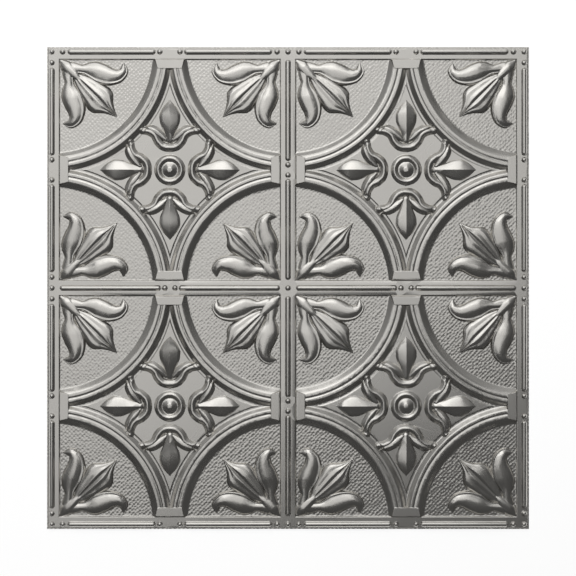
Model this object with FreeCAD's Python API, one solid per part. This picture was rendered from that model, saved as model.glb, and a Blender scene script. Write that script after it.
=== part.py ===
# Pressed tin ceiling tile, nail-up type, two feet square: one thin sheet of tinplate, raised between
# a die and a punch.
#
# The face is a grid of rails with a raised ring round every crossing, and a four-pointed field with a
# rosette between each four rings. A cell is a quarter of one square of the grid: a crossing is at its
# origin, the middle of a rosette at its far corner, and its two sides match across the diagonal, so
# quarter turns of one cell make the whole face.
#
# Millimetres. +Z points out of the decorated face, and the origin is the middle of the tile on its
# back plane.
import FreeCAD
import Part
import math
import os

from FreeCAD import Vector

# Sheet
gauge = 0.3  # thickness of the tinplate
panel_pitch = 304.8  # from rail to rail, 12 in
panels = 2  # panels along each side
lap = 6.35  # from the middle of the outer bead to the edge
lip = 1.35  # flat strip along the edge, on the back plane
skirt_run = 1.0  # width of the slope from the outer rail down to the lip

# Rails, and the bead and pearls on them
rail_half = 10.5
rail_height = 1.6
rail_run = 1.6  # width of the slope along the side of a rail
bead_half = 3.6
bead_top_half = 2.0
bead_height = 2.3
bead_from_crossing = 12.0  # where the bead stops short of a crossing
bead_from_middle = 16.0  # where it stops short of the middle of a panel's side
pearl_half = 3.5
pearl_height = 2.2
pearl_from_middle = 7.0

# Ring round each crossing
crown_to_border = 4.4  # from the outer edge of its crown to the line where two rings meet
crown_width = 9.4
crown_height = 5.7
ground_run = 9.2  # width of the slope from the crown down to the ground
field_run = 6.0  # width of the slope from the crown down to the four-pointed field
field_height = 2.0

# Block that closes the rings where they come to a rail
cap_half_length = 15.0
cap_end_run = 10.5  # width of the slope at its ends, which carries on the inner slope of the ring
cap_near = 12.0  # from the middle of the rail
cap_far = 21.0
cap_side_run = 2.6  # width of the slope along its sides
cap_height = 6.5

# Leaves and bud in each quarter of a circle, placed from the crossing
leaf_steps = 5  # facets along each edge of a leaf
leaf_spacing = 0.8  # power that makes them shorter towards the tip
middle_leaf_root = 44.0  # along the diagonal
middle_leaf_tip = 118.0
middle_leaf_half = 23.5
middle_leaf_widest = 0.5  # where it is widest, from root to tip
middle_leaf_height = 6.8
side_leaf_root = (22.0, 17.5)
side_leaf_tip = (103.0, 16.0)
side_leaf_in = 30.0  # width towards the middle leaf
side_leaf_fullest = 0.65  # where that width is reached
side_leaf_out = 7.0  # swing of its other edge, out to the rail and then in behind the curled tip
side_leaf_turn = 0.6  # where that edge turns in
side_leaf_height = 6.8
bud_root = 16.0  # along the diagonal
bud_tip = 58.0
bud_half = 8.4
bud_widest = 0.4
bud_height = 5.0
bud_steps = 3

# Rosette in the middle of the four-pointed field, placed from its centre
rosette_sides = 12  # sides of the dome and of its collar
dome_radius = 9.0
dome_top_radius = 4.0
dome_height = 4.0
collar_radius = 15.5
collar_half = 4.0
collar_height = 2.6
petal_root = 38.0
petal_tip = 89.0
petal_half = 15.0
petal_height = 4.9
petal_widest = 0.57
petal_steps = 3
ribbon_near = 28.5  # from the centre to the ribbon's bend under a lily
ribbon_far = 51.0  # from the centre to its ends
ribbon_reach = 29.0  # from the middle of a lily to its ends
ribbon_point = 5.0  # length of the pointed end, which stops at the foot of the ring
ribbon_half = 5.2
ribbon_height = 3.5
ribbon_steps = 4  # facets along one half

half_pitch = panel_pitch / 2
die_depth = half_pitch  # the die is a block far deeper than the sheet, which is only its skin
sink = field_height  # a raised form goes this far into what it stands on
reach = panels * half_pitch  # from the middle of the tile to the outer beads
ground = 0.0
outer_crown = half_pitch - crown_to_border
inner_crown = outer_crown - crown_width
ring_foot = inner_crown - ground_run
ring_end_angle = math.degrees(math.atan2((cap_near + cap_far) / 2, half_pitch))  # inside the block
rail_trim = lap - lip - skirt_run  # from the middle of the outer bead to the end of the rail's flat top
up = Vector(0, 0, 1)


def box(x0, x1, y0, y1):
    """A box over a rectangle of the plan, as deep and as high as the die."""
    return Part.makeBox(x1 - x0, y1 - y0, 2 * die_depth, Vector(x0, y0, -die_depth))


def face_of(points):
    """A flat face inside a closed outline of points."""
    return Part.Face(Part.makePolygon([*points, points[0]]))


def walls(low, high):
    """The flat faces between two like closed outlines."""
    corners = zip(low, low[1:] + low[:1], high[1:] + high[:1], high)
    return [face_of(four) for four in corners]


def frustum(low, high):
    """A solid with flat sloping sides between two like outlines, the lower one first."""
    return Part.Solid(Part.Shell([face_of(low), face_of(high), *walls(low, high)]))


def with_twin(low, high):
    """A frustum and its twin across the diagonal of the cell."""
    twin_low, twin_high = ([Vector(p.y, p.x, p.z) for p in outline] for outline in (low, high))
    return [frustum(low, high), frustum(twin_low, twin_high)]


def point_on(outline, peak, height, level):
    """A raised point: flat facets from an outline of the plan up to a peak, carried into the ground."""
    spread = (height + sink) / height
    top = Vector(peak[0], peak[1], level + height)
    low = [top + (Vector(x, y, level) - top) * spread for x, y in outline]
    facets = [face_of([a, b, top]) for a, b in zip(low, low[1:] + low[:1])]
    return Part.Solid(Part.Shell([face_of(low), *facets]))


def roof(left, right, ridge):
    """A raised form: flat facets from each of two edges up to a ridge, all three of like steps.

    The edges and the ridge start at one point and end at one point, and below the edges the form is
    carried down into the ground.
    """
    outline = right + left[-2:0:-1]
    low = [p - up * sink for p in outline]
    facets = [face_of(low), *walls(low, outline)]
    last = len(ridge) - 2
    for edge in (left, right):
        for i, (a, b, c, d) in enumerate(zip(edge, edge[1:], ridge, ridge[1:])):
            if i > 0:
                facets.append(face_of([a, b, c]))
            if i < last:
                facets.append(face_of([b, d, c]))
    return Part.Solid(Part.Shell(facets))


def wave(t, middle, halves):
    """A sine wave of so many half waves from 0 to 1, drawn out so that its half way comes at middle."""
    return math.sin(math.pi * halves * t ** (math.log(0.5) / math.log(middle)))


def leaf(root, tip, left, right, height, steps, level):
    """A pointed leaf from root to tip, its ridge half way between its edges.

    Each edge is a wave, given as its width, its middle and its number of half waves. The ridge rises
    as the fourth root of a half wave, blunt at both ends.
    """
    along = Vector(tip[0] - root[0], tip[1] - root[1], 0)
    across = Vector(-along.y, along.x, 0).normalize()
    start = Vector(root[0], root[1], level)
    left_edge = []
    right_edge = []
    ridge = []
    for i in range(steps + 1):
        t = (i / steps) ** leaf_spacing
        inner = start + along * t + across * (left[0] * wave(t, *left[1:]))
        outer = start + along * t - across * (right[0] * wave(t, *right[1:]))
        left_edge.append(inner)
        right_edge.append(outer)
        ridge.append((inner + outer) / 2 + up * (height * abs(wave(t, 0.5, 1)) ** 0.25))
    for line in (left_edge, right_edge, ridge):
        line[-1] = start + along
    return roof(left_edge, right_edge, ridge)


def along_both_sides(profile, start, end):
    """A profile of (distance from the side, height) points, along the two sides from the crossing."""
    on_x = [Vector(start, d, z) for d, z in profile]
    on_y = [Vector(d, start, z) for d, z in profile]
    run = end - start
    return [face_of(on_x).extrude(Vector(run, 0, 0)), face_of(on_y).extrude(Vector(0, run, 0))]


def rails():
    """Half the width of the rails along two sides of the cell."""
    profile = [
        (0, -sink),
        (rail_half, -sink),
        (rail_half, ground),
        (rail_half - rail_run, rail_height),
        (0, rail_height),
    ]
    return along_both_sides(profile, 0, half_pitch)


def beads():
    """The bead on each rail, with sloping ends short of the crossing and of the panel's middle."""
    foot_half = bead_half + (bead_half - bead_top_half) * sink / bead_height
    outlines = []
    for half, z in ((foot_half, rail_height - sink), (bead_top_half, rail_height + bead_height)):
        start = bead_from_crossing + bead_half - half
        end = half_pitch - bead_from_middle - bead_half + half
        corners = ((start, -half), (end, -half), (end, half), (start, half))
        outlines.append([Vector(x, y, z) for x, y in corners])
    return with_twin(*outlines)


def pearls():
    """The four-sided pearl on the crossing, and one in the gap of each bead."""
    place = half_pitch - pearl_from_middle
    made = []
    for x, y in ((0, 0), (place, 0), (0, place)):
        outline = [(x + pearl_half, y), (x, y + pearl_half), (x - pearl_half, y), (x, y - pearl_half)]
        made.append(point_on(outline, (x, y), pearl_height, rail_height))
    return made


def ring():
    """The ring round the crossing and the field outside it, its ends hidden in the blocks."""
    beyond = 2 * half_pitch
    profile = [
        (ring_foot, -sink),
        (ring_foot, ground),
        (inner_crown, crown_height),
        (outer_crown, crown_height),
        (outer_crown + field_run, field_height),
        (beyond, field_height),
        (beyond, -sink),
    ]
    section = face_of([Vector(r, 0, z) for r, z in profile]).rotated(Vector(), up, ring_end_angle)
    return section.revolve(Vector(), up, 90 - 2 * ring_end_angle)


def caps():
    """The blocks with sloping sides that close the rings against the two rails."""

    def outline(z):
        drop = 1 - z / cap_height
        start = half_pitch - cap_half_length - cap_end_run * drop
        end = half_pitch + cap_half_length + cap_end_run * drop
        near = cap_near - cap_side_run * drop
        far = cap_far + cap_side_run * drop
        corners = ((start, near), (end, near), (end, far), (start, far))
        return [Vector(x, y, z) for x, y in corners]

    return with_twin(outline(-sink), outline(cap_height))


def leaves():
    """The three leaves in a quarter of the circle, and the bud on the diagonal that they grow from."""

    def on_diagonal(distance):
        return (distance * math.sqrt(0.5), distance * math.sqrt(0.5))

    middle = (middle_leaf_half, middle_leaf_widest, 1)
    bud = (bud_half, bud_widest, 1)
    inner = (side_leaf_in, side_leaf_fullest, 1)
    outer = (side_leaf_out, side_leaf_turn, 2)
    root = on_diagonal(middle_leaf_root)
    tip = on_diagonal(middle_leaf_tip)
    made = [leaf(root, tip, middle, middle, middle_leaf_height, leaf_steps, ground)]
    made.append(leaf(side_leaf_root, side_leaf_tip, inner, outer, side_leaf_height, leaf_steps, ground))
    root = side_leaf_root[::-1]
    tip = side_leaf_tip[::-1]
    made.append(leaf(root, tip, outer, inner, side_leaf_height, leaf_steps, ground))
    root = on_diagonal(bud_root)
    tip = on_diagonal(bud_tip)
    made.append(leaf(root, tip, bud, bud, bud_height, bud_steps, ground))
    return made


def ribbons():
    """Two half ribbons, each a roof along a half wave from under a lily out to a point.

    Each starts a little past the middle of its lily, where it meets the half in the next cell.
    """
    swing = (ribbon_far - ribbon_near) / 2
    line = [Vector(-ribbon_half, ribbon_near, field_height)]
    for i in range(ribbon_steps + 1):
        t = i / ribbon_steps
        away = ribbon_near + swing * (1 - math.cos(math.pi * t))
        line.append(Vector(ribbon_reach * t, away, field_height))
    headings = [(b - a).normalize() for a, b in zip(line, line[1:])]
    start = line[0] - headings[0] * ribbon_point
    point = line[-1] + headings[-1] * ribbon_point
    left = [start]
    right = [start]
    ridge = [start]
    for p, before, after in zip(line, headings[:1] + headings, headings + headings[-1:]):
        heading = (before + after).normalize()
        across = Vector(-heading.y, heading.x, 0) * (ribbon_half / heading.dot(after))
        left.append(p + across)
        right.append(p - across)
        ridge.append(p + up * ribbon_height)
    lines = [[*points, point] for points in (left, right, ridge)]
    under_one = [[Vector(half_pitch - p.x, half_pitch - p.y, p.z) for p in points] for points in lines]
    under_other = [[Vector(p.y, p.x, p.z) for p in points] for points in under_one]
    return [roof(*under_one), roof(*under_other)]


def rosette():
    """A quarter of the rosette: the dome, the collar round it and halves of two lily petals."""
    centre = Vector(half_pitch, half_pitch, 0)

    def circle(radius, height):
        angles = [2 * math.pi * i / rosette_sides for i in range(rosette_sides)]
        return [centre + Vector(radius * math.cos(a), radius * math.sin(a), height) for a in angles]

    foot = field_height - sink
    crest = field_height + collar_height
    collar_foot = collar_radius + collar_half * (1 + sink / collar_height)
    collar = frustum(circle(collar_foot, foot), circle(collar_radius, crest))
    well = frustum(circle(collar_radius - collar_half, field_height), circle(collar_radius, crest))
    dome_foot = dome_radius + (dome_radius - dome_top_radius) * sink / dome_height
    dome = frustum(circle(dome_foot, foot), circle(dome_top_radius, field_height + dome_height))
    made = [collar.cut(well), dome]
    edge = (petal_half, petal_widest, 1)
    for away in (Vector(0, -1, 0), Vector(-1, 0, 0)):
        root = centre + away * petal_root
        tip = centre + away * petal_tip
        made.append(leaf(root, tip, edge, edge, petal_height, petal_steps, field_height))
    return made


def cell_sheet():
    """One cell of the sheet: the skin between the die and the same die one gauge lower."""
    cell = box(0, half_pitch, 0, half_pitch)
    die = Part.makeBox(half_pitch, half_pitch, die_depth, Vector(0, 0, -die_depth))
    for form in [ring(), *caps(), *rails(), *beads(), *pearls(), *leaves(), *ribbons(), *rosette()]:
        if form.Volume < 0:
            form.reverse()
        die = die.fuse(form.common(cell))
    return die.cut(die.translated(up * -gauge))


def skirt():
    """The slope and the lip all round the tile, outside the outer rails."""
    edge = reach + rail_trim
    levels = [(edge, rail_height), (edge + skirt_run, ground), (edge + skirt_run + lip, ground)]
    made = []
    for (near, near_z), (far, far_z) in zip(levels, levels[1:]):
        corners = [(near, -near, near_z), (near, near, near_z), (far, far, far_z), (far, -far, far_z)]
        side = face_of([Vector(*c) for c in corners]).extrude(up * -gauge)
        for quarter in range(4):
            made.append(side.rotated(Vector(), up, 90 * quarter))
    return made


def tile():
    """The whole sheet: the cell turned about every crossing and trimmed to the rails, and the skirt."""
    cell = cell_sheet()
    edge = reach + rail_trim
    inside = box(-edge, edge, -edge, edge)
    crossings = [panel_pitch * i - reach for i in range(panels + 1)]
    pieces = skirt()
    for x in crossings:
        for y in crossings:
            for quarter in range(4):
                piece = cell.rotated(Vector(), up, 90 * quarter).translated(Vector(x, y, 0))
                if not inside.BoundBox.isInside(piece.BoundBox):
                    piece = piece.common(inside)
                pieces.append(piece)
    return pieces[0].multiFuse(pieces[1:]).removeSplitter().translated(up * gauge)


os.makedirs("parts", exist_ok=True)
made_tile = tile()
solid = made_tile.Solids[0]
extent = solid.BoundBox
print("solids", len(made_tile.Solids), "faces", len(solid.Faces), "valid", solid.isValid())
print("size", extent.XLength, extent.YLength, extent.ZLength, "volume in cm3", solid.Volume / 1000)
solid.exportStep("parts/ceiling_tile.step")
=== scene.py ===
import math

import bpy
import numpy as np
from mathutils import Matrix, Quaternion, Vector


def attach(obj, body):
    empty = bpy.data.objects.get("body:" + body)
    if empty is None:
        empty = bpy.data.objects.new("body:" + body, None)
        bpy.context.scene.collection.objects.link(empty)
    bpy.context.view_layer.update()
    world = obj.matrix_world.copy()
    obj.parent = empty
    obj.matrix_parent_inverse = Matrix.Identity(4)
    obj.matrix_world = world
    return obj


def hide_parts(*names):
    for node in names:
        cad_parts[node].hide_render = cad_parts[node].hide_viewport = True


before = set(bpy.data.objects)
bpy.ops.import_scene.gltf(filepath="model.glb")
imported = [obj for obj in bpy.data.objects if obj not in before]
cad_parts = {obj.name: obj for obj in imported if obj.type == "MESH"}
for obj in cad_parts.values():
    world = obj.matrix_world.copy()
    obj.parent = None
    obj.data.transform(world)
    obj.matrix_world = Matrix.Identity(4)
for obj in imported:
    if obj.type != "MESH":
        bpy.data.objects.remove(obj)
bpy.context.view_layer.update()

# The sheet, in millimetres
PITCH = 304.8  # from rail to rail
HALF = PITCH / 2
LAP = 6.35  # from the middle of the outer bead to the edge
EDGE = PITCH + LAP
GAUGE = 0.3
GRID = 1024  # steps of the height grid along a side
TOLERANCE = 0.06  # how far the first triangles may stand off the grid
TRIANGLES = 98000  # on one face, after thinning
TURN_ROUNDS = 4  # rounds in which edges are turned along the creases
TURN_ERROR = 0.02  # an edge this close to the relief is left
TURN_GAIN = 0.01  # what turning an edge has to gain
TURN_SHARE = 0.06  # least share of the two triangles that either has after the turn

# Rings and field, as (distance from the crossing, height)
RING = [
    (0, 0),
    (129.2, 0),
    (130.4, 0.35),
    (136.6, 5.0),
    (139.6, 5.9),
    (141.6, 5.9),
    (144.2, 5.2),
    (146.4, 5.9),
    (148.2, 5.9),
    (155.4, 1.1),
    (156.8, 1.1),
    (158.8, 2.0),
    (230, 2.0),
]
RING_START = 8.0  # rings and field begin this far off the middle of a rail
RING_RUN = 4.0  # and rise over this width

# Rails: the flat plate as (distance off its middle, height), then bead and pearls. Pairs of values are
# for the outer rails and for the inner ones.
RAIL = [(0, 1.7), (9.0, 1.7), (10.8, 0), (300, 0)]
BEAD_HALF = 3.6
BEAD_HEIGHT = 2.6
BEAD_START = 24.0, 14.0  # from the crossing
BEAD_STOP = 22.0, 15.0  # from the middle between two crossings
BEAD_ZONE = 7.0  # half width of the strip that bead, groove and pearls keep to
GROOVE_RADIUS = 4.6  # of the fine groove round the bead
GROOVE_WIDTH = 0.8
GROOVE_DEPTH = 0.6
PEARL_RADIUS = 3.6
PEARL_HEIGHT = 2.4
MIDDLE_PEARL = 13.0, 6.6  # from the middle between two crossings
END_PEARL = 14.0  # from the crossing, on the outer rails
LIP_START = 3.9  # where the outer plate drops to the lip, from the middle of its bead
LIP_RUN = 1.1

# Caps, measured off the middle of their rail
CAP_NEAR = 8.3
CAP_NEAR_RUN = 2.8  # width of the slope along the rail
CAP_FAR = 24.2
CAP_RUN = 2.6  # width of the other slopes
CAP_HEIGHT = 6.1
CAP_HALF = 17.8  # half the length of the top at its root
CAP_ROOT = 12.0
CAP_TAPER = 0.25  # loss of half length with the distance from the root


def ease(t):
    """A step from 0 to 1 that starts and ends level."""
    t = np.clip(t, 0, 1)
    return t * t * (3 - 2 * t)


def smooth(d, knots):
    """A curve through (distance, height) knots that never overshoots them.

    It is level at a peak, and else has a slope between those of its two sides.
    """
    x, z = np.array(knots, float).T
    step = np.diff(x)
    s = np.diff(z) / step
    both = s[:-1] * s[1:]
    inner = np.where(both > 0, 2 * both / np.where(both > 0, s[:-1] + s[1:], 1), 0)
    m = np.concatenate([s[:1], inner, s[-1:]])
    i = np.clip(np.searchsorted(x, d, side="right") - 1, 0, len(x) - 2)
    t = np.clip((d - x[i]) / step[i], 0, 1)
    u = 1 - t
    between = z[i] * u * u * (1 + 2 * t) + z[i + 1] * t * t * (1 + 2 * u)
    return between + step[i] * t * u * (m[i] * u - m[i + 1] * t)


def blend_up(a, b, soft):
    """The higher of two reliefs, rounded where they meet: away from there it is up to half of soft lower."""
    return (a + b + np.sqrt((a - b) ** 2 + soft * soft)) / 2 - soft / 2


def curve(points, steps=14):
    """A smooth line through points: between two of them a cubic with slopes from their neighbours."""
    p = np.array(points, float)
    p = np.vstack([2 * p[0] - p[1], p, 2 * p[-1] - p[-2]])
    a, b, c, d = p[:-3, None], p[1:-2, None], p[2:-1, None], p[3:, None]
    t = np.linspace(0, 1, steps, endpoint=False)[None, :, None]
    square = a - 2.5 * b + 2 * c - d / 2
    cube = 1.5 * (b - c) + (d - a) / 2
    line = b + t * (c - a) / 2 + t**2 * square + t**3 * cube
    return np.vstack([line.reshape(-1, 2), p[-2]])


def beside(px, py, line):
    """Each point's nearest place on a line, and its distance from there.

    The place is a share of the line's length, and the distance is positive on the left.
    """
    steps = np.diff(line, axis=0)
    lengths = np.hypot(*steps.T)
    starts = np.concatenate([[0], np.cumsum(lengths)])
    nearest = np.full(px.shape, np.inf)
    share = np.zeros(px.shape)
    side = np.zeros(px.shape)
    for (x, y), (dx, dy), length, start in zip(line, steps, lengths, starts):
        k = np.clip(((px - x) * dx + (py - y) * dy) / length**2, 0, 1)
        ex = px - x - k * dx
        ey = py - y - k * dy
        distance = np.hypot(ex, ey)
        closer = distance < nearest
        nearest = np.where(closer, distance, nearest)
        share = np.where(closer, (start + k * length) / starts[-1], share)
        side = np.where(closer, np.where(dx * ey - dy * ex >= 0, 1.0, -1.0), side)
    return share, nearest * side


def leaf(px, py, spine, left, right, height, left_section, right_section):
    """A raised leaf along a spine.

    The half widths on its two sides and its height change along the spine, and its sections run from the
    spine, 0, to the edge, 1.
    """
    share, off = beside(px, py, curve(spine))
    inner = smooth(np.clip(off / np.maximum(smooth(share, left), 1e-3), 0, 1), left_section)
    outer = smooth(np.clip(-off / np.maximum(smooth(share, right), 1e-3), 0, 1), right_section)
    return smooth(share, height) * np.where(off >= 0, inner, outer)


def dome(distance, radius, height):
    """A round button that is steep at its foot."""
    return height * np.clip(1 - (distance / radius) ** 2.5, 0, 1)


def rail_forms(along, off, outer):
    """The bead and the pearls on one rail.

    They are found from the distance along it to the nearest crossing and the distance off it. The bead is
    a long dome with a fine groove round it, and on the outer rails it has longer gaps.
    """
    start = np.where(outer, *BEAD_START)
    end = HALF - np.where(outer, *BEAD_STOP)
    beyond = np.maximum(np.maximum(start - along, along - end), 0)
    reach = np.hypot(beyond, off)
    groove = GROOVE_DEPTH * np.exp(-(((reach - GROOVE_RADIUS) / GROOVE_WIDTH) ** 2))
    z = dome(reach, BEAD_HALF, BEAD_HEIGHT) - groove
    pearl = HALF - along - np.where(outer, *MIDDLE_PEARL)
    z = np.maximum(z, dome(np.hypot(pearl, off), PEARL_RADIUS, PEARL_HEIGHT))
    end_height = np.where(outer, PEARL_HEIGHT, 0)
    return np.maximum(z, dome(np.hypot(along - END_PEARL, off), PEARL_RADIUS, end_height))


def circle_forms(far, near):
    """The leaves in an eighth of a circle, from the distances to the crossing along and off a rail.

    They are a broad side leaf that hooks back to the rail, half of a middle leaf and half of the bud that
    they grow from.
    """
    spine = [(20, 19), (32, 22), (44, 22.5), (56, 24.5), (67, 28)]
    spine += [(77, 31), (86, 30.5), (92, 25), (92.5, 16)]
    left = [(0, 5), (0.15, 5.6), (0.25, 6.6), (0.32, 9), (0.4, 12.6), (0.49, 15)]
    left += [(0.6, 14.8), (0.73, 11.4), (0.84, 8), (0.92, 6), (1, 1.5)]
    right = [(0, 5.5), (0.08, 8), (0.16, 7.6), (0.23, 6), (0.34, 10.6), (0.44, 13)]
    right += [(0.55, 12.6), (0.66, 11), (0.76, 9.6), (0.85, 8), (0.93, 5), (1, 1.5)]
    side_leaf = leaf(
        far,
        near,
        spine,
        left,
        right,
        [(0, 2.8), (0.18, 4.0), (0.3, 4.4), (0.5, 6.3), (0.7, 6.5), (0.86, 5.4), (1, 1.6)],
        [(0, 1), (0.1, 0.995), (0.45, 0.84), (0.66, 0.7), (0.8, 0.74), (0.91, 0.48), (1, 0)],
        [(0, 1), (0.1, 0.995), (0.45, 0.9), (0.72, 0.7), (0.88, 0.42), (1, 0)],
    )
    slant = math.sqrt(0.5)
    along = (far + near) * slant
    across = (far - near) * slant
    width = [(0, 5), (0.08, 8), (0.14, 10.5), (0.28, 14.5), (0.43, 17.5)]
    width += [(0.57, 19.8), (0.65, 18.8), (0.78, 10.2), (0.89, 4.8), (1, 0.8)]
    section = [(0, 0.76), (0.2, 1), (0.46, 0.82), (0.6, 0.84), (0.8, 0.68), (0.91, 0.42), (1, 0)]
    middle_leaf = leaf(
        along,
        across,
        [(44, 0), (118, 0)],
        width,
        width,
        [(0, 3.0), (0.3, 5.2), (0.58, 6.6), (0.8, 5.2), (1, 1.2)],
        section,
        section,
    )
    swell = [(0, 3), (0.25, 8.6), (0.5, 8.4), (0.75, 6), (1, 3)]
    round_section = [(0, 1), (0.1, 0.99), (0.55, 0.8), (1, 0)]
    bud = leaf(
        along,
        across,
        [(17, 0), (54, 0)],
        swell,
        swell,
        [(0, 1.6), (0.35, 4.6), (0.7, 4.4), (1, 2.6)],
        round_section,
        round_section,
    )
    z = blend_up(side_leaf, middle_leaf, 0.3)
    return blend_up(z, bud, 0.3)


def rosette_forms(lateral, away):
    """An eighth of the rosette, from the distances to its middle across and along the axis of a lily."""
    button = [(0, 4.3), (2.6, 4.1), (8.6, 0.9), (10.4, 0.4)]
    collar = [(12.8, 2.3), (15.2, 3.1), (17.2, 2.4), (20.4, 0), (300, 0)]
    z = smooth(np.hypot(lateral, away), button + collar)
    width = [(0, 5.6), (0.7, 5.6), (1, 4.6)]
    ribbon = leaf(
        lateral,
        away,
        [(-9, 30.5), (0, 28.5), (9, 30.5), (15.5, 37), (19.5, 45), (27, 49.5), (36, 50.5)],
        width,
        width,
        [(0, 4.2), (0.8, 4.2), (1, 3.2)],
        [(0, 1), (0.15, 0.98), (0.5, 0.7), (0.75, 0.5), (1, 0)],
        [(0, 1), (0.15, 0.98), (0.3, 0.88), (1, 0)],
    )
    width = [(0, 4.5), (0.2, 7.5), (0.5, 13.2), (0.62, 13.6), (0.8, 9.8), (0.92, 5), (1, 1)]
    facets = [(0, 1), (0.5, 0.66), (0.82, 0.4), (1, 0)]
    petal = leaf(
        lateral,
        away,
        [(0, 38), (0, 89)],
        width,
        width,
        [(0, 2.4), (0.3, 4.2), (0.6, 4.9), (0.85, 3.8), (1, 0.6)],
        facets,
        facets,
    )
    wing_width = [(0, 3.0), (0.3, 6.0), (0.7, 6.0), (0.9, 3.4), (1, 1)]
    wing = leaf(
        lateral,
        away,
        [(5, 39), (11, 45), (18, 50), (25, 53), (32, 55.5)],
        wing_width,
        wing_width,
        [(0, 2.6), (0.5, 4.4), (0.9, 3.2), (1, 0.8)],
        [(0, 1), (0.15, 0.98), (0.3, 0.88), (1, 0)],
        [(0, 1), (0.4, 0.9), (0.8, 0.6), (1, 0)],
    )
    for form in (ribbon, petal, wing):
        z = np.maximum(z, form)
    return z


def cap_form(middle, near):
    """The block that closes the rings against a rail: a plate with slopes, longer beside the rail."""
    half = CAP_HALF - CAP_TAPER * (near - CAP_ROOT)
    sides = ease((near - CAP_NEAR) / CAP_NEAR_RUN) * ease((CAP_FAR - near) / CAP_RUN)
    return CAP_HEIGHT * ease((half - middle) / CAP_RUN + 1) * sides


def relief(x, y):
    """Height of the lower face over points of the plan.

    Each point is folded into the eighth of a cell beside the nearest rail, and the forms there are joined
    by taking the higher one.
    """
    ux = np.abs(x - PITCH * np.round(x / PITCH))
    uy = np.abs(y - PITCH * np.round(y / PITCH))
    far = np.maximum(ux, uy)
    near = np.minimum(ux, uy)
    inside = ease((near - RING_START) / RING_RUN)
    ring = smooth(np.hypot(ux, uy), RING)
    lilies = rosette_forms(HALF - far, HALF - near)
    z = np.maximum(ring, np.minimum(ring, RING[-1][1]) + lilies) * inside
    z = np.maximum(z, circle_forms(far, near))
    z = np.maximum(z, cap_form(HALF - far, near))
    forms = np.maximum(
        rail_forms(ux, uy, np.round(np.abs(y) / PITCH) == 1),
        rail_forms(uy, ux, np.round(np.abs(x) / PITCH) == 1),
    )
    forms = np.maximum(forms, dome(np.hypot(ux, uy), PEARL_RADIUS, PEARL_HEIGHT))
    z = np.maximum(z, smooth(near, RAIL) + forms * (near < BEAD_ZONE))
    outside = np.maximum(np.abs(x), np.abs(y)) - PITCH
    return z * (1 - ease((outside - LIP_START) / LIP_RUN))


def halved_triangles(z, tolerance):
    """Right triangles over a square grid of heights.

    Each is halved from the middle of its long side while the grid there, or at the middle of any smaller
    triangle in it, is off the straight line by more than the tolerance.
    """
    n = len(z) - 1
    need = np.zeros_like(z)
    half = 1
    while half < n:
        full = 2 * half
        corner = z[::full, ::full]
        for level, found in ((z, need), (z.T, need.T)):
            ends = level[::full, ::full]
            off = np.abs(level[half::full, ::full] - (ends[:-1] + ends[1:]) / 2)
            if half > 1:
                inner = np.pad(found[half // 2 :: half, half // 2 :: half], ((0, 0), (1, 1)))
                off = np.maximum.reduce([off, *(inner[i::2, j::2] for i in (0, 1) for j in (0, 1))])
            found[half::full, ::full] = off
        rising = (corner[:-1, :-1] + corner[1:, 1:]) / 2
        falling = (corner[1:, :-1] + corner[:-1, 1:]) / 2
        odd = np.add.outer(np.arange(n // full), np.arange(n // full)) % 2
        off = np.abs(z[half::full, half::full] - np.where(odd, falling, rising))
        sides = need[half::full, ::full]
        ends = need[::full, half::full]
        around = [off, sides[:, :-1], sides[:, 1:], ends[:-1], ends[1:]]
        need[half::full, half::full] = np.maximum.reduce(around)
        half = full
    triangles = np.array([[[0, 0], [n, n], [n, 0]], [[n, n], [0, 0], [0, n]]])
    done = []
    while len(triangles):
        a, b, c = triangles.transpose(1, 0, 2)
        m = (a + b) // 2
        split = (np.abs(a - b).max(axis=1) > 1) & (need[m[:, 0], m[:, 1]] > tolerance)
        done.append(triangles[~split])
        a, b, c, m = a[split], b[split], c[split], m[split]
        triangles = np.concatenate([np.stack([c, a, m], axis=1), np.stack([b, c, m], axis=1)])
    return np.concatenate(done)[:, ::-1]


def on_creases(x, y, reach):
    """Points of the plan, those within reach of a knot of the ring's section moved onto its circle."""
    cx = PITCH * np.round(x / PITCH)
    cy = PITCH * np.round(y / PITCH)
    radius = np.maximum(np.hypot(x - cx, y - cy), 1)
    circles = np.array(RING)[1:-1, 0]
    nearest = circles[np.abs(radius[:, None] - circles).argmin(axis=1)]
    scale = np.where(np.abs(radius - nearest) < reach, nearest / radius, 1)
    return cx + (x - cx) * scale, cy + (y - cy) * scale


def thinned(points, triangles, count):
    """The same surface with fewer triangles: edges collapse first where that moves it least."""
    mesh = bpy.data.meshes.new("thinned")
    mesh.from_pydata(points, [], triangles)
    holder = bpy.data.objects.new("thinned", mesh)
    bpy.context.collection.objects.link(holder)
    holder.modifiers.new("thinned", "DECIMATE").ratio = count / len(triangles)
    made = bpy.data.meshes.new_from_object(holder.evaluated_get(bpy.context.evaluated_depsgraph_get()))
    bpy.data.objects.remove(holder)
    points = np.empty(3 * len(made.vertices), np.float32)
    made.vertices.foreach_get("co", points)
    points = points.reshape(-1, 3).astype(float)
    triangles = np.empty(3 * len(made.polygons), np.int32)
    made.polygons.foreach_get("vertices", triangles)
    triangles = triangles.reshape(-1, 3)
    bpy.data.meshes.remove(made)
    bpy.data.meshes.remove(mesh)
    return points, triangles


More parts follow.
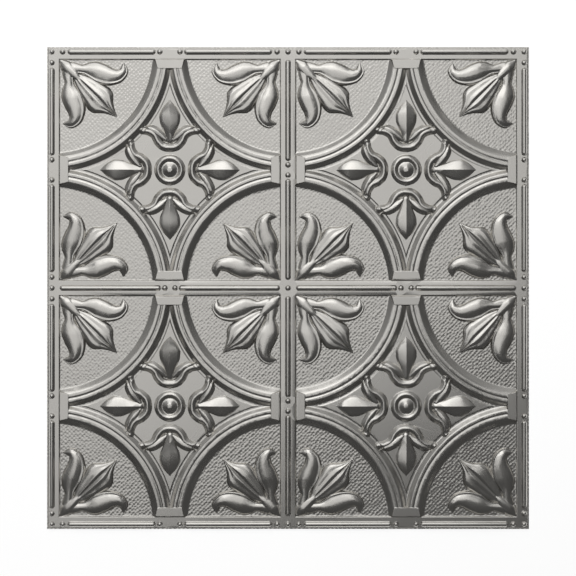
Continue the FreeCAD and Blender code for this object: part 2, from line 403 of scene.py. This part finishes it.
def unfolded(plan, triangles):
    """The same triangles, but where one is folded over its neighbour, their shared edge is turned."""
    a, b, c = plan[triangles].transpose(1, 0, 2)
    folded = (b - a)[:, 0] * (c - a)[:, 1] <= (b - a)[:, 1] * (c - a)[:, 0]
    for k in np.flatnonzero(folded):
        sides = np.roll(plan[triangles[k]], -1, axis=0) - plan[triangles[k]]
        u, v, w = np.roll(triangles[k], -np.hypot(*sides.T).argmax())
        pair = np.flatnonzero((triangles == u).any(axis=1) & (triangles == v).any(axis=1))
        if len(pair) == 2:
            q = triangles[pair].sum() - 2 * u - 2 * v - w
            triangles[pair] = (u, q, w), (q, v, w)
    return triangles


def along_creases(points, triangles, rounds):
    """The same corners joined anew, so that edges follow the creases of the relief.

    In each round an edge is turned to the other diagonal of its two triangles where three places on that
    one all lie closer to the relief than the edge's middle. A triangle takes part in one turn a round, the
    one that gains most.
    """
    for _ in range(rounds):
        starts = triangles.ravel()
        ends = triangles[:, [1, 2, 0]].ravel()
        others = triangles[:, [2, 0, 1]].ravel()
        keys = np.sort(np.stack([starts, ends], axis=1), axis=1) @ [len(points), 1]
        order = np.argsort(keys, kind="stable")
        twice = np.flatnonzero(keys[order[:-1]] == keys[order[1:]])
        one, two = order[twice], order[twice + 1]
        a, b, c, d = starts[one], ends[one], others[one], others[two]
        middle = (points[a] + points[b]) / 2
        now = np.abs(relief(*middle[:, :2].T) - middle[:, 2])
        worst = now > TURN_ERROR
        one, two, a, b, c, d, now = (part[worst] for part in (one, two, a, b, c, d, now))
        cross = points[d] - points[c]
        gain = now.copy()
        for share in (0.25, 0.5, 0.75):
            other = points[c] + share * cross
            gain = np.minimum(gain, now - np.abs(relief(*other[:, :2].T) - other[:, 2]))
        to_a = points[a] - points[c]
        to_b = points[b] - points[c]
        side_a = cross[:, 0] * to_a[:, 1] - cross[:, 1] * to_a[:, 0]
        side_b = cross[:, 1] * to_b[:, 0] - cross[:, 0] * to_b[:, 1]
        whole = side_a + side_b
        gain[np.minimum(side_a * whole, side_b * whole) < TURN_SHARE * whole * whole] = 0
        gain += 1e-9 * np.arange(len(gain))  # so that no two are the same
        best = np.full(len(triangles), TURN_GAIN)
        np.maximum.at(best, one // 3, gain)
        np.maximum.at(best, two // 3, gain)
        turn = (gain == best[one // 3]) & (gain == best[two // 3])
        one, two, a, b, c, d = (part[turn] for part in (one, two, a, b, c, d))
        triangles[one // 3] = np.stack([a, d, c], axis=1)
        triangles[two // 3] = np.stack([d, b, c], axis=1)
    return triangles


def sheet_mesh(name):
    """The whole sheet as one closed mesh.

    The lower face is the relief on thinned triangles, the upper face is the same one gauge up, and a
    narrow rim joins them. The normal at a corner is that of the relief a little inside its triangle, so
    that creases stay sharp. It gives way to the triangle's own where the three don't agree with that.
    """
    quarter = np.linspace(0, EDGE, GRID // 2 + 1)
    z = relief(*np.meshgrid(quarter, quarter, indexing="ij"))
    z = np.concatenate([z[:0:-1], z])
    z = np.concatenate([z[:, :0:-1], z], axis=1)
    line = np.linspace(-EDGE, EDGE, GRID + 1)
    corners = halved_triangles(z, TOLERANCE)
    used, front = np.unique(corners @ [GRID + 1, 1], return_inverse=True)
    i, j = np.divmod(used, GRID + 1)
    x, y = on_creases(line[i], line[j], EDGE / GRID)
    points, front = thinned(np.stack([x, y, relief(x, y)], axis=1), front.reshape(-1, 3), TRIANGLES)
    x, y = np.clip(points[:, :2].T, -EDGE, EDGE)
    lower = np.stack([x, y, relief(x, y)], axis=1)
    upper = lower + [0, 0, GAUGE]
    front = along_creases(lower, unfolded(lower[:, :2], front), TURN_ROUNDS)
    plan = lower[front][:, :, :2]
    inward = plan.mean(axis=1, keepdims=True) - plan
    inset = 0.4  # millimetres, and the share of the way to the triangle's middle that it never passes
    inward *= np.minimum(inset, inset / np.linalg.norm(inward, axis=2, keepdims=True))
    px, py = (plan + inward).reshape(-1, 2).T
    step = 0.1
    slope_x = (relief(px + step, py) - relief(px - step, py)) / (2 * step)
    slope_y = (relief(px, py + step) - relief(px, py - step)) / (2 * step)
    normals = np.stack([-slope_x, -slope_y, np.ones(len(px))], axis=1)
    normals = (normals / np.linalg.norm(normals, axis=1)[:, None]).reshape(-1, 3, 3)
    a, b, c = lower[front].transpose(1, 0, 2)
    own = np.cross(b - a, c - a)
    own = (own / np.linalg.norm(own, axis=1)[:, None])[:, None]
    lean = normals - own
    off = np.linalg.norm(lean.mean(axis=1), axis=1)
    trust = np.clip(1.5 - 5 * off, 0, 1)
    normals = own + lean * trust[:, None, None]

    count = len(x)
    edges = np.concatenate([front[:, [0, 1]], front[:, [1, 2]], front[:, [2, 0]]])
    keys = np.sort(edges, axis=1) @ [count, 1]
    _, first, times = np.unique(keys, return_index=True, return_counts=True)
    u, v = edges[first[times == 1]].T
    rim = [np.stack([v, u, u + count], axis=1), np.stack([v, u + count, v + count], axis=1)]
    faces = np.concatenate([front, front[:, ::-1] + count, *rim])

    mesh = bpy.data.meshes.new(name)
    mesh.from_pydata(np.concatenate([upper, lower]) / 1000, [], faces)
    side = lower[v] - lower[u]
    outward = np.stack([side[:, 1], -side[:, 0], np.zeros(len(u))], axis=1)
    outward /= np.linalg.norm(outward, axis=1)[:, None]
    corner_normals = np.concatenate(
        [
            normals.reshape(-1, 3),
            -normals[:, ::-1].reshape(-1, 3),
            np.repeat(np.concatenate([outward, outward]), 3, axis=0),
        ]
    )
    mesh.normals_split_custom_set(corner_normals)
    return mesh


class Wire:
    """A socket of a node tree. The ordinary operators on it add Math nodes."""

    def __init__(self, tree, socket=None):
        self.tree = tree
        self.socket = socket

    def node(self, kind, settings=None, inputs=None, output=0):
        """Adds any node with its settings and inputs, values or wires, and gives the wire of one output."""
        made = self.tree.nodes.new(kind)
        for key, value in (settings or {}).items():
            setattr(made, key, value)
        for key, value in (inputs or {}).items():
            if isinstance(value, Wire):
                self.tree.links.new(value.socket, made.inputs[key])
            else:
                made.inputs[key].default_value = value
        return Wire(self.tree, made.outputs[output] if len(made.outputs) else None)

    def math(self, operation, *values):
        return self.node("ShaderNodeMath", {"operation": operation}, dict(enumerate(values)))

    def __add__(self, other):
        return self.math("ADD", self, other)

    def __radd__(self, other):
        return self.math("ADD", other, self)

    def __sub__(self, other):
        return self.math("SUBTRACT", self, other)

    def __rsub__(self, other):
        return self.math("SUBTRACT", other, self)

    def __mul__(self, other):
        return self.math("MULTIPLY", self, other)

    def __rmul__(self, other):
        return self.math("MULTIPLY", other, self)


def tinplate():
    """Bright tinplate: a warm grey metal with faint cloudy patches, and small dents on the flat grounds."""
    material = bpy.data.materials.new("tinplate")
    material.use_nodes = True
    tree = material.node_tree
    tree.nodes.clear()
    w = Wire(tree)
    place = w.node("ShaderNodeTexCoord", output="Object")
    height = w.node("ShaderNodeSeparateXYZ", inputs={"Vector": place}, output="Z")
    ground = w.node(
        "ShaderNodeMapRange",
        {"interpolation_type": "SMOOTHSTEP"},
        {"Value": height, "From Min": 0.00035, "From Max": 0.0008, "To Min": 1.0, "To Max": 0.0},
    )
    turned = w.node("ShaderNodeVectorRotate", inputs={"Vector": place, "Angle": math.radians(45)})
    clouds = w.node("ShaderNodeTexNoise", inputs={"Vector": place, "Scale": 9.0, "Detail": 4.0})
    dents = w.node(
        "ShaderNodeTexVoronoi",
        {"feature": "SMOOTH_F1"},
        {"Vector": turned, "Scale": 265.0, "Smoothness": 0.5, "Randomness": 0.45},
        output="Distance",
    )
    bump = w.node(
        "ShaderNodeBump",
        inputs={"Strength": 1.0, "Distance": 0.0004, "Height": dents * ground},
    )
    color = w.node(
        "ShaderNodeMix",
        {"data_type": "RGBA"},
        {"Factor": clouds, "A": (0.5, 0.485, 0.455, 1), "B": (0.62, 0.605, 0.575, 1)},
        output="Result",
    )
    shader = w.node(
        "ShaderNodeBsdfPrincipled",
        inputs={
            "Base Color": color,
            "Metallic": 1.0,
            "Roughness": 0.2 + clouds * 0.14,
            "Normal": bump,
        },
    )
    w.node("ShaderNodeOutputMaterial", inputs={"Surface": shader})
    return material


def floor_material():
    """A plain, almost white studio floor.

    It is matt, with a glow that only the picture and reflections see, so that it keeps the shadow.
    """
    material = bpy.data.materials.new("studio_floor")
    material.use_nodes = True
    tree = material.node_tree
    tree.nodes.clear()
    w = Wire(tree)
    camera_ray = w.node("ShaderNodeLightPath", output="Is Camera Ray")
    glossy_ray = w.node("ShaderNodeLightPath", output="Is Glossy Ray")
    transmission_ray = w.node("ShaderNodeLightPath", output="Is Transmission Ray")
    seen = camera_ray + glossy_ray + transmission_ray
    matt = w.node("ShaderNodeBsdfDiffuse", inputs={"Color": (0.9, 0.9, 0.9, 1)})
    glow = w.node("ShaderNodeEmission", inputs={"Color": (1, 1, 1, 1), "Strength": 0.6})
    dark = w.node("ShaderNodeEmission", inputs={"Color": (0, 0, 0, 1)})
    added = w.node("ShaderNodeMixShader", inputs={"Fac": seen, 1: dark, 2: glow})
    both = w.node("ShaderNodeAddShader", inputs={0: matt, 1: added})
    w.node("ShaderNodeOutputMaterial", inputs={"Surface": both})
    return material


def lamp(name, place, target, size, turn, radiance):
    """A square soft box at a place, facing a target and turned about its axis by so many degrees.

    Its brightness is the radiance of its face.
    """
    light = bpy.data.lights.new(name, "AREA")
    light.shape = "SQUARE"
    light.size = size
    light.energy = radiance * math.pi * size * size
    made = bpy.data.objects.new(name, light)
    bpy.context.collection.objects.link(made)
    made.location = place
    facing = (Vector(target) - Vector(place)).to_track_quat("-Z", "Y")
    made.rotation_euler = (facing @ Quaternion((0, 0, 1), math.radians(turn))).to_euler()
    return made


tile = bpy.data.objects.new("pressed_sheet", sheet_mesh("pressed_sheet"))
bpy.context.collection.objects.link(tile)
tile.data.materials.append(tinplate())
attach(tile, "root")
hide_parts("ceiling_tile")

bpy.ops.mesh.primitive_plane_add(size=40, location=(0, 0, -0.0003))
floor = bpy.context.active_object
floor.name = "studio_floor"
floor.data.materials.append(floor_material())

lamp("upper_box", place=(-0.4, 2.65, 2.4), target=(0, 0, 0), size=3.0, turn=0, radiance=1.0)
lamp("overhead_box", place=(-0.55, 0.87, 2.9), target=(-0.55, 0.87, 0), size=3.0, turn=30, radiance=0.79)

world = bpy.data.worlds.new("studio")
bpy.context.scene.world = world
world.use_nodes = True
world.node_tree.nodes.clear()
w = Wire(world.node_tree)
toward = w.node("ShaderNodeTexCoord", output="Generated")
glow = w.node(
    "ShaderNodeVectorMath",
    {"operation": "DOT_PRODUCT"},
    {0: toward, 1: (-0.2, 0.98, 0)},
    output="Value",
)
dark_side = 0.08
light_side = 0.42
strength = dark_side + light_side * w.math("MAXIMUM", glow, 0.0)
sky = w.node("ShaderNodeBackground", inputs={"Color": (1, 1, 1, 1), "Strength": strength})
w.node("ShaderNodeOutputWorld", inputs={"Surface": sky})

camera_data = bpy.data.cameras.new("camera")
camera_data.lens = 90
camera = bpy.data.objects.new("camera", camera_data)
bpy.context.collection.objects.link(camera)
camera.location = (0, 0, 1.86)
bpy.context.scene.camera = camera
bpy.context.scene.view_settings.view_transform = "Standard"
